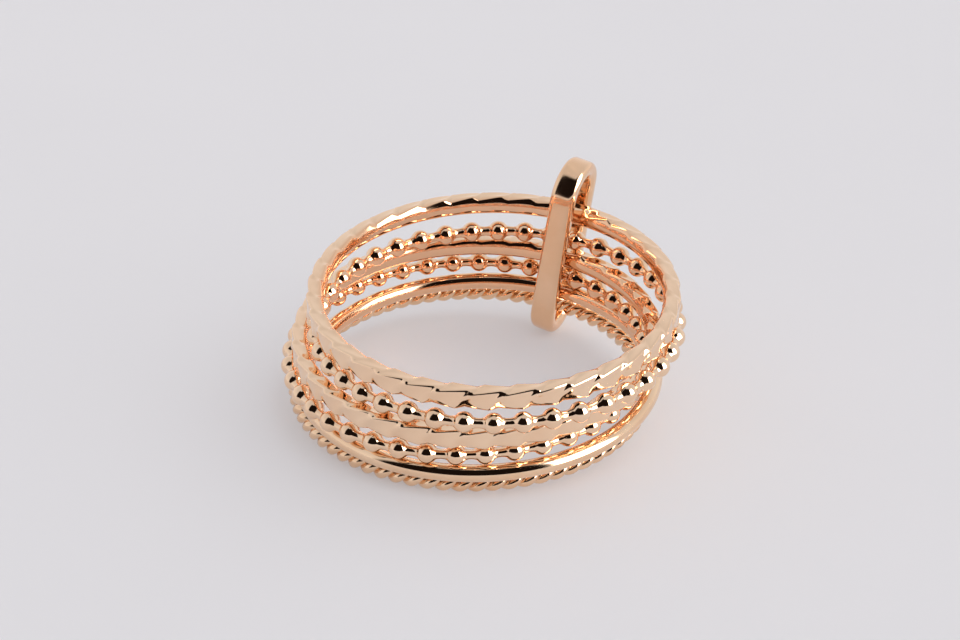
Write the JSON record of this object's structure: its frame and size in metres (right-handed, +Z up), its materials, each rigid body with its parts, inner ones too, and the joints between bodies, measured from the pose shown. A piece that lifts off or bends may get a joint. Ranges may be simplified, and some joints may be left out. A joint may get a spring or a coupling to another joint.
{
  "type": "stack ring",
  "caption": "Finger ring of slim beaded, faceted, plain and rope bands that one long oval clip holds together loosely; each band turns through the clip",
  "frame": {"origin": "centre of the bounding box's underside, on the surface the ring lies on", "axes": "+Z is up from the surface, nearly along the finger hole; +Y points from the hole to the clip; +X is to the right"},
  "size_m": [0.0212, 0.0214, 0.0109],
  "materials": {
    "polished_clip": "polished rose gold strip",
    "faceted_wire": "polished rose gold with cut facets",
    "polished_beads": "mirror-polished rose gold beads",
    "polished_wire": "mirror-polished rose gold round wire",
    "twisted_wire": "polished rose gold twisted wire"
  },
  "bodies": {
    "clip": {"clip": "polished_clip"},
    "upper_twist_band": {"upper_twist_band": "faceted_wire"},
    "upper_bead_band": {"upper_bead_band": "polished_beads"},
    "lower_twist_band": {"lower_twist_band": "faceted_wire"},
    "lower_bead_band": {"lower_bead_band": "polished_beads"},
    "plain_band": {"plain_band": "polished_wire"},
    "rope_band": {"rope_band": "twisted_wire"}
  },
  "joints": [
    {"name": "upper_twist_band_turn", "type": "hinge", "parent": "clip", "child": "upper_twist_band", "pos_m": [0.00047, -0.00056, 0.00687], "axis": [0.0119, -0.0783, 0.9969], "continuous": true},
    {"name": "upper_bead_band_turn", "type": "hinge", "parent": "clip", "child": "upper_bead_band", "pos_m": [0.00083, -0.00093, 0.00554], "axis": [-0.0017, -0.0647, 0.9979], "continuous": true},
    {"name": "lower_twist_band_turn", "type": "hinge", "parent": "clip", "child": "lower_twist_band", "pos_m": [-0.00031, -0.0008, 0.00441], "axis": [-0.0017, -0.0647, 0.9979], "continuous": true},
    {"name": "lower_bead_band_turn", "type": "hinge", "parent": "clip", "child": "lower_bead_band", "pos_m": [-0.00084, -0.00069, 0.00313], "axis": [-0.0152, -0.0683, 0.9976], "continuous": true},
    {"name": "plain_band_turn", "type": "hinge", "parent": "clip", "child": "plain_band", "pos_m": [-0.00022, -0.00062, 0.0021], "axis": [-0.0152, -0.0683, 0.9976], "continuous": true},
    {"name": "rope_band_turn", "type": "hinge", "parent": "clip", "child": "rope_band", "pos_m": [-0.00093, -0.00001, 0.00099], "axis": [0, -0.0564, 0.9984], "continuous": true}
  ]
}
